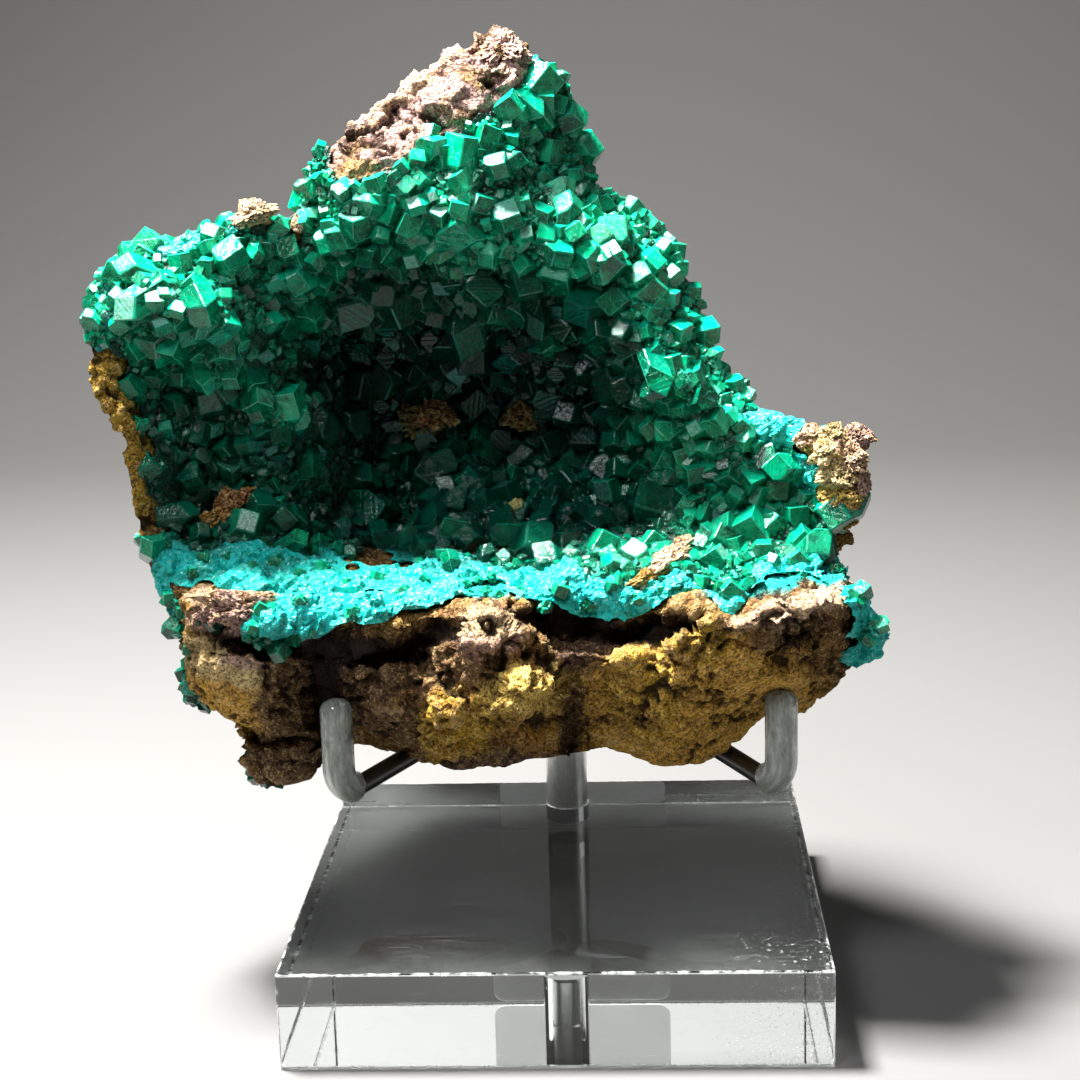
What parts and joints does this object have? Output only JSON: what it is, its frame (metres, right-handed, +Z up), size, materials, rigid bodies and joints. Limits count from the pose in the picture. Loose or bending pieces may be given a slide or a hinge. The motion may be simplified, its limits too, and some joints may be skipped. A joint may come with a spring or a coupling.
{
  "type": "dioptase specimen on stand",
  "caption": "Open vug of green dioptase crystals on brown gossan, held by a steel post and two bent arms in a clear acrylic block.",
  "frame": {"origin": "centre of the acrylic block's underside", "axes": "+Z up, +Y to the back of the specimen, the open vug faces -Y"},
  "size_m": [0.1643, 0.1106, 0.2011],
  "materials": {
    "gossan": "rough",
    "dioptase": "glossy",
    "clear_acrylic": "polished",
    "label_paper": "matt",
    "brushed_steel": "brushed",
    "sleeve_plastic": "satin"
  },
  "bodies": {
    "root": {"gossan_rock": "gossan", "dioptase_druse": "dioptase", "crystals_left_edge": "dioptase", "crystals_low_edge": "dioptase", "acrylic_block": "clear_acrylic", "blank_label": "label_paper", "post": "brushed_steel", "arm_left": "brushed_steel", "arm_right": "brushed_steel", "sleeve_left": "sleeve_plastic", "sleeve_right": "sleeve_plastic"}
  },
  "joints": []
}
